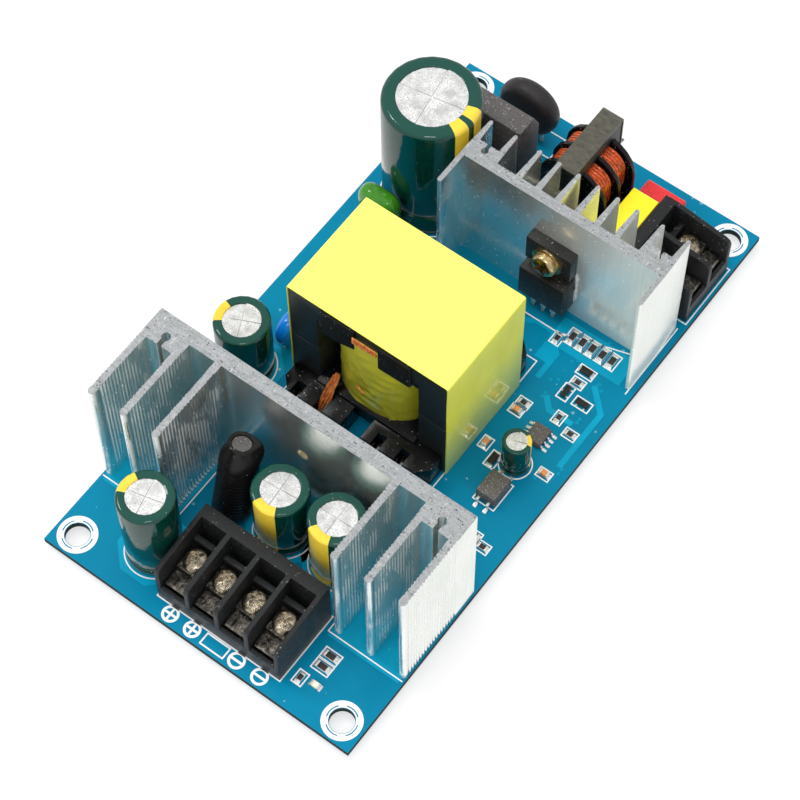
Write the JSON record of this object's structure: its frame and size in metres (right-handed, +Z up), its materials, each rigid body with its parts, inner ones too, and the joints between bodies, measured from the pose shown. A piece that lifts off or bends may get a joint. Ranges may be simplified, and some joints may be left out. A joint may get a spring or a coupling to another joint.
{
  "type": "open frame power supply",
  "caption": "Open frame switching power supply: a bare board with screw terminals at both ends, finned heatsinks and a taped transformer.",
  "frame": {"origin": "middle of the board's outline, level with the tips of the longest leads under it", "axes": "+X along the board from the output terminals to the mains input, +Y across it, +Z up from the board"},
  "size_m": [0.15, 0.079, 0.0409],
  "materials": {
    "board": "gloss",
    "terminal_plastic": "satin",
    "terminal_brass": "satin",
    "plated_steel": "satin",
    "extruded_aluminium": "satin",
    "tinned_lead": "satin",
    "moulding_black": "satin",
    "ferrite": "matte",
    "bobbin_plastic": "satin",
    "winding_copper": "gloss",
    "yellow_tape": "gloss",
    "can_aluminium": "satin",
    "green_sleeve": "gloss",
    "black_shrink": "satin",
    "thermistor_coat": "matte",
    "clip_steel": "satin",
    "yellow_case": "gloss",
    "red_case": "gloss",
    "green_dip": "gloss",
    "blue_dip": "gloss",
    "chip_ceramic": "satin",
    "capacitor_ceramic": "satin",
    "lamp_resin": "gloss"
  },
  "bodies": {
    "root": {"circuit_board": "board", "output_terminal_body": "terminal_plastic", "input_terminal_body": "terminal_plastic", "terminal_contacts": "terminal_brass", "terminal_clamps": "plated_steel", "terminal_screws": "plated_steel", "output_heatsink": "extruded_aluminium", "primary_heatsink": "extruded_aluminium", "heatsink_pins": "tinned_lead", "output_rectifier_body": "moulding_black", "switching_transistor_body": "moulding_black", "output_rectifier_leads": "tinned_lead", "switching_transistor_leads": "tinned_lead", "heatsink_screws": "plated_steel", "transformer_lower_core": "ferrite", "transformer_upper_core": "ferrite", "transformer_bobbin": "bobbin_plastic", "transformer_winding": "winding_copper", "transformer_core_tape": "yellow_tape", "transformer_lead_outs": "winding_copper", "transformer_pins": "tinned_lead", "bulk_capacitor_can": "can_aluminium", "bulk_capacitor_sleeve": "green_sleeve", "output_capacitor_cans": "can_aluminium", "output_capacitor_sleeves": "green_sleeve", "supply_capacitor_can": "can_aluminium", "supply_capacitor_sleeve": "green_sleeve", "capacitor_leads": "tinned_lead", "rod_choke_core": "ferrite", "rod_choke_winding": "winding_copper", "rod_choke_sleeve": "black_shrink", "bridge_rectifier_body": "moulding_black", "bridge_rectifier_leads": "tinned_lead", "thermistor_disc": "thermistor_coat", "choke_core": "ferrite", "choke_bobbin": "bobbin_plastic", "choke_windings": "winding_copper", "choke_clip": "clip_steel", "choke_pins": "tinned_lead", "filter_capacitor_body": "yellow_case", "fuse_body": "red_case", "film_capacitor_body": "green_dip", "safety_capacitor_disc": "blue_dip", "small_part_leads": "tinned_lead", "optocoupler_body": "moulding_black", "controller_body": "moulding_black", "chip_leads": "tinned_lead", "surface_resistors": "chip_ceramic", "surface_capacitors": "capacitor_ceramic", "surface_transistors": "moulding_black", "surface_diodes": "moulding_black", "indicator_lamp": "lamp_resin"}
  },
  "joints": []
}
